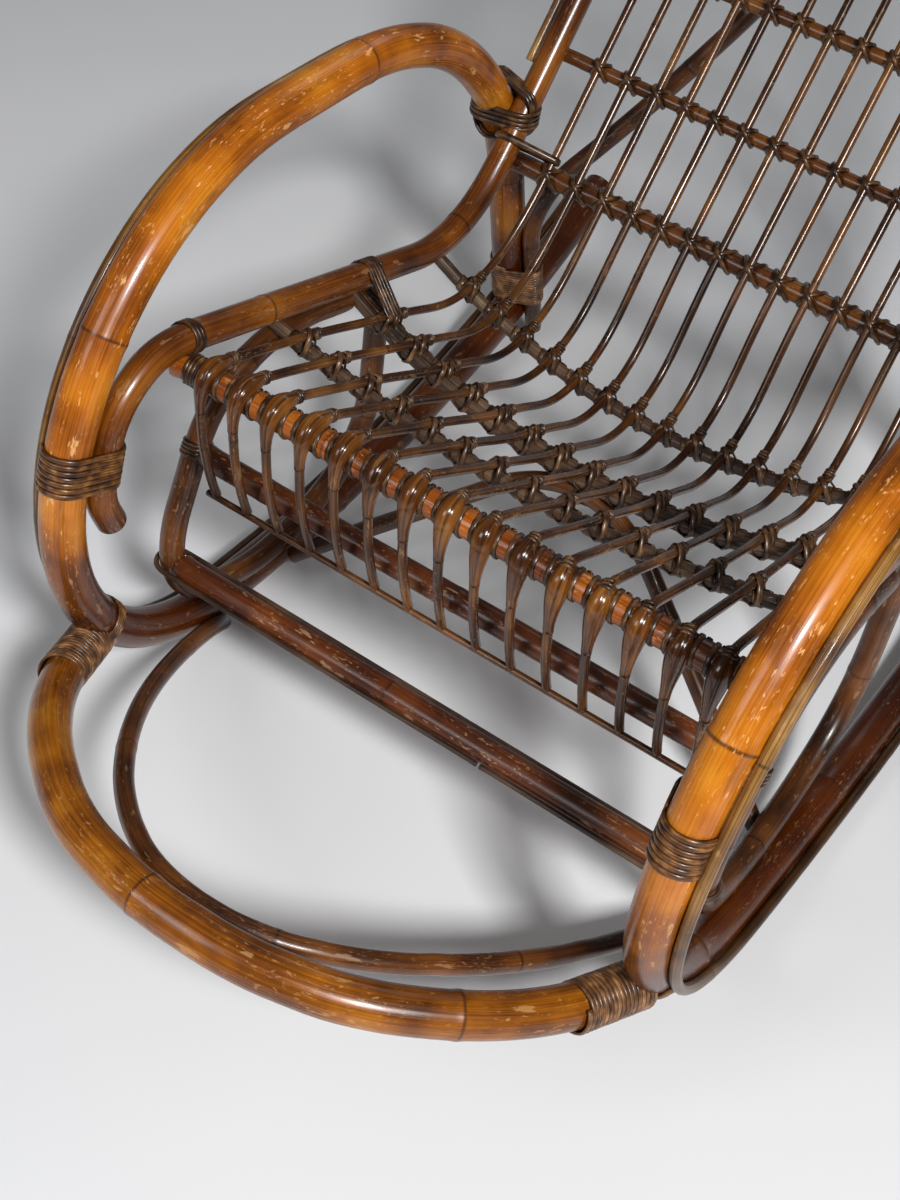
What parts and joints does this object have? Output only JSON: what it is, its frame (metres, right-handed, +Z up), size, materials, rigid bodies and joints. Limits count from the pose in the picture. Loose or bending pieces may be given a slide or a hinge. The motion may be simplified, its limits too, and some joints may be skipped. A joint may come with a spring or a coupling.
{
  "type": "rattan rocking chair",
  "caption": "Rattan rocking chair of bent cane poles: looped arms that run on into rockers, a dished seat and reclined back of thin slats, and a footrest loop in front.",
  "frame": {"origin": "on the floor, midway between the two points where the rockers rest", "axes": "+Z up, the chair faces -Y, +X towards the left arm as one sits in it"},
  "size_m": [0.6882, 1.2676, 0.8184],
  "materials": {
    "arm_cane": "amber varnish, glossy",
    "frame_cane": "red-brown varnish, glossy",
    "rail_cane": "brown varnish, satin",
    "slat_cane": "dark brown varnish, glossy",
    "split_cane": "grey-brown, satin",
    "lashing_cane": "grey-brown, satin"
  },
  "bodies": {
    "root": {"side_loop_left": "arm_cane", "side_loop_right": "arm_cane", "footrest_loop": "arm_cane", "frame_pole_left": "frame_cane", "frame_pole_right": "frame_cane", "side_brace_left": "frame_cane", "side_brace_right": "frame_cane", "upper_front_bar": "frame_cane", "lower_front_bar": "frame_cane", "inner_foot_loop": "frame_cane", "rear_arch": "frame_cane", "under_seat_arch": "frame_cane", "front_seat_rail": "rail_cane", "second_seat_rail": "rail_cane", "wide_rail_front_rod": "rail_cane", "wide_rail_rear_rod": "rail_cane", "fourth_seat_rail": "rail_cane", "lumbar_rail": "rail_cane", "back_rail_1": "rail_cane", "back_rail_2": "rail_cane", "back_rail_3": "rail_cane", "back_rail_4": "rail_cane", "top_back_rail": "rail_cane", "slat_end_rod": "rail_cane", "slat_01": "slat_cane", "slat_02": "slat_cane", "slat_03": "slat_cane", "slat_04": "slat_cane", "slat_05": "slat_cane", "slat_06": "slat_cane", "slat_07": "slat_cane", "slat_08": "slat_cane", "slat_09": "slat_cane", "slat_10": "slat_cane", "slat_11": "slat_cane", "slat_12": "slat_cane", "slat_13": "slat_cane", "slat_14": "slat_cane", "slat_15": "slat_cane", "loop_strip_left": "split_cane", "loop_strip_right": "split_cane", "post_strip_left": "split_cane", "post_strip_right": "split_cane", "lower_bar_strip": "split_cane", "arm_front_lashing_left": "lashing_cane", "arm_front_lashing_right": "lashing_cane", "rear_leg_lashing_left": "lashing_cane", "rear_leg_lashing_right": "lashing_cane", "footrest_lashing_left": "lashing_cane", "footrest_lashing_right": "lashing_cane", "crest_lashing": "lashing_cane", "inner_cross_lashing_left": "lashing_cane", "inner_cross_lashing_right": "lashing_cane", "outer_cross_lashing_left": "lashing_cane", "outer_cross_lashing_right": "lashing_cane"}
  },
  "joints": []
}
